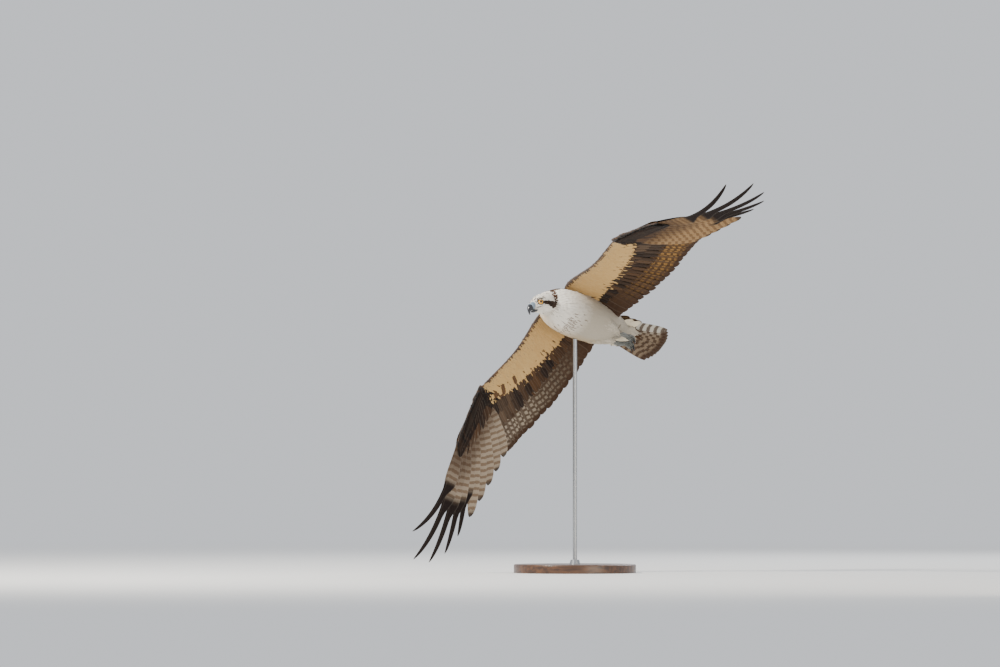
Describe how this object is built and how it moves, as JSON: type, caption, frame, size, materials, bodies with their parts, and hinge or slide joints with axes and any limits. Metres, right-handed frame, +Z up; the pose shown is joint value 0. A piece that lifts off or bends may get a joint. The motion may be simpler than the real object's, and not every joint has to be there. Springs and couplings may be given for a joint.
{
  "type": "osprey model",
  "caption": "Life-size osprey in banking flight with spread wings, held by a rod on a round display base.",
  "frame": {"origin": "middle of the round base's underside, on the floor", "axes": "+Z up, +X to the right of someone standing at -Y and facing the bird, whose head points to -X and -Y"},
  "size_m": [0.9712, 0.8189, 1.0779],
  "materials": {
    "white_plumage": "soft overlapping contour feathers, white to cream",
    "head_plumage": "fine short feathers, white with dark brown eye stripe and streaks",
    "wing_plumage": "flight feathers barred dark brown, coverts golden buff below and dark brown above",
    "tail_plumage": "tail feathers barred dark brown and buff with pale tips",
    "bill_horn": "smooth black horn, blue-grey at the base",
    "eye": "wet, yellow iris and black pupil",
    "foot_skin": "pale grey scaly skin with black talons",
    "base_wood": "dark stained and satin varnished",
    "rod_steel": "brushed"
  },
  "bodies": {
    "root": {"torso": "white_plumage", "neck": "head_plumage", "head": "head_plumage", "bill_upper": "bill_horn", "bill_lower": "bill_horn", "eye_left": "eye", "eye_right": "eye", "tail": "tail_plumage", "wing_left_arm": "wing_plumage", "wing_left_hand": "wing_plumage", "wing_right_arm": "wing_plumage", "wing_right_hand": "wing_plumage", "leg_left": "white_plumage", "leg_right": "white_plumage", "foot_left": "foot_skin", "foot_right": "foot_skin", "stand_base": "base_wood", "stand_rod": "rod_steel"}
  },
  "joints": []
}
